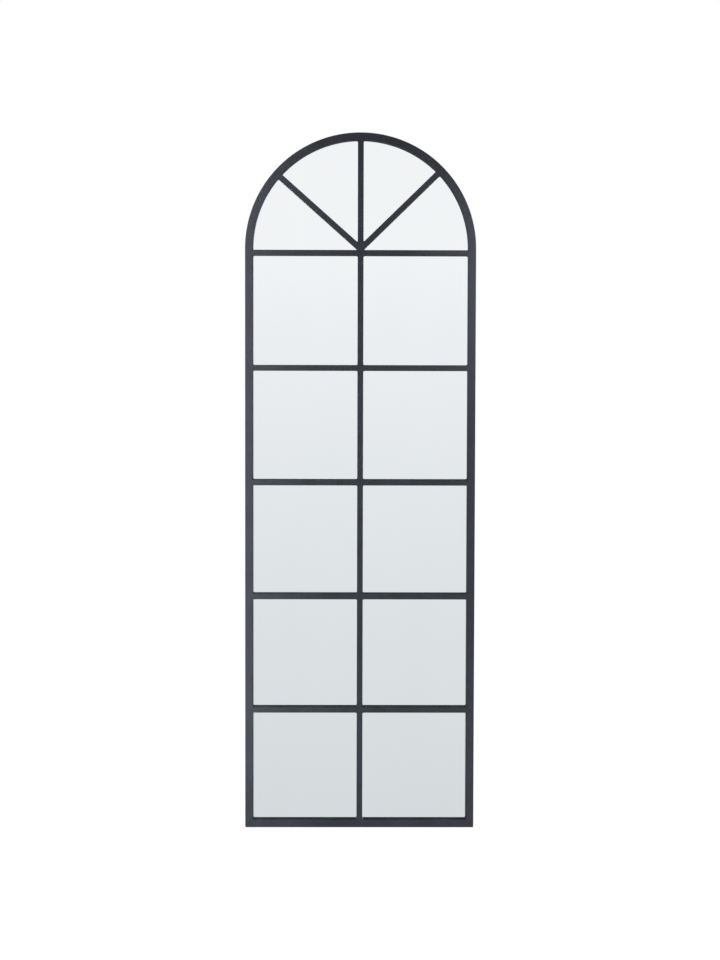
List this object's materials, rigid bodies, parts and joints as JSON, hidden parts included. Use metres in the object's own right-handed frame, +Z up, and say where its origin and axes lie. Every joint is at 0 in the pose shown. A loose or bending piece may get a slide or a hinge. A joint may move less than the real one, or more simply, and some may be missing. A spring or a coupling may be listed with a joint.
{
  "type": "arched window mirror",
  "caption": "Tall mirror with an arched top, a metal tube frame and a window-style grid of glazing bars with a fan in the arch, with hanging rings on the back.",
  "frame": {"origin": "middle of the bottom rail's underside, half way through the depth of the frame tube", "axes": "+Z up, the mirror's front faces -Y, +X to the viewer's right"},
  "size_m": [0.594, 0.027, 1.7999],
  "materials": {
    "frame_coat": "satin charcoal powder coat on steel tube",
    "silvered_glass": "flat mirror glass, silvered on its back",
    "foam_tape": "white double-sided foam tape",
    "fibreboard": "hardboard, painted black",
    "black_rubber": "matt black rubber",
    "zinc_plate": "bright zinc plate on steel"
  },
  "bodies": {
    "mirror": {"arch_tube": "frame_coat", "left_stile": "frame_coat", "right_stile": "frame_coat", "bottom_rail": "frame_coat", "centre_bar": "frame_coat", "transom_1_left": "frame_coat", "transom_1_right": "frame_coat", "transom_2_left": "frame_coat", "transom_2_right": "frame_coat", "transom_3_left": "frame_coat", "transom_3_right": "frame_coat", "transom_4_left": "frame_coat", "transom_4_right": "frame_coat", "transom_5_left": "frame_coat", "transom_5_right": "frame_coat", "fan_bar_left": "frame_coat", "fan_bar_right": "frame_coat", "mirror_glass": "silvered_glass", "bonding_tape": "foam_tape", "backing_board": "fibreboard", "setting_blocks": "black_rubber", "retaining_clips": "zinc_plate", "clip_screws": "zinc_plate", "hanger_strap_left": "zinc_plate", "hanger_strap_right": "zinc_plate", "hanger_screws": "zinc_plate", "wall_bumpers": "black_rubber"},
    "ring_left": {"hanger_ring_left": "zinc_plate"},
    "ring_right": {"hanger_ring_right": "zinc_plate"}
  },
  "joints": [
    {"name": "ring_left_swing", "type": "hinge", "parent": "mirror", "child": "ring_left", "pos_m": [-0.287, 0.0133, 1.4], "axis": [1, 0, 0], "range_deg": [0, 180]},
    {"name": "ring_right_swing", "type": "hinge", "parent": "mirror", "child": "ring_right", "pos_m": [0.287, 0.0133, 1.4], "axis": [1, 0, 0], "range_deg": [0, 180]}
  ]
}
